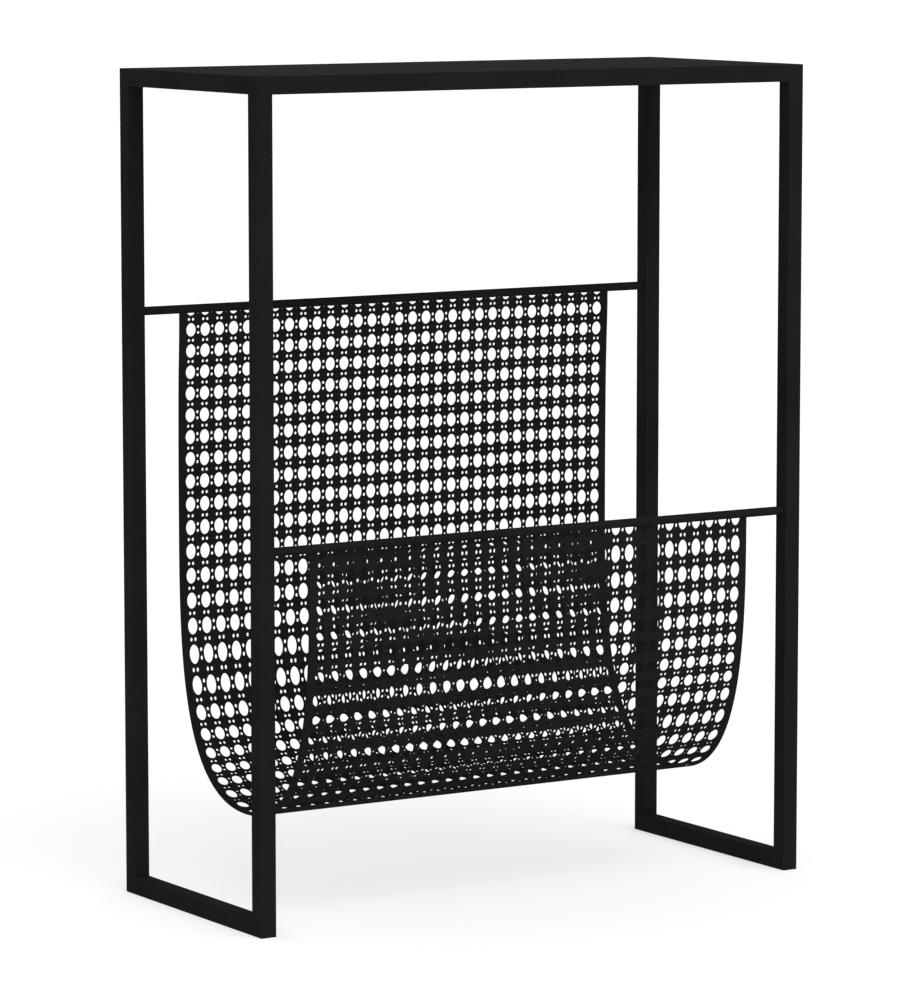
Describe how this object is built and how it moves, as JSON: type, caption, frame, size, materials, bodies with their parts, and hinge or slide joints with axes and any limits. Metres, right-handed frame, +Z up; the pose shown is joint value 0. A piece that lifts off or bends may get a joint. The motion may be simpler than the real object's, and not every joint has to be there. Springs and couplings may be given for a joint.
{
  "type": "magazine rack",
  "caption": "Free-standing magazine rack: square-tube frame, flush top panel, and a perforated sheet sling hung between a low front rod and a high rear rod.",
  "frame": {"origin": "on the floor under the centre of the frame's footprint", "axes": "+X to the right along the length, +Y to the back where the higher rod is, +Z up"},
  "size_m": [0.44, 0.186, 0.57],
  "materials": {
    "frame_coat": "matt black powder coat on square steel tube",
    "top_coat": "matt black powder coat, fine texture, on flat sheet",
    "rod_coat": "matt black powder coat on round bar",
    "sling_coat": "matt black powder coat on perforated sheet"
  },
  "bodies": {
    "root": {"left_front_post": "frame_coat", "left_rear_post": "frame_coat", "left_foot_rail": "frame_coat", "left_top_rail": "frame_coat", "right_front_post": "frame_coat", "right_rear_post": "frame_coat", "right_foot_rail": "frame_coat", "right_top_rail": "frame_coat", "front_top_rail": "frame_coat", "rear_top_rail": "frame_coat", "top_panel": "top_coat", "front_rod": "rod_coat", "rear_rod": "rod_coat", "sling": "sling_coat"}
  },
  "joints": []
}
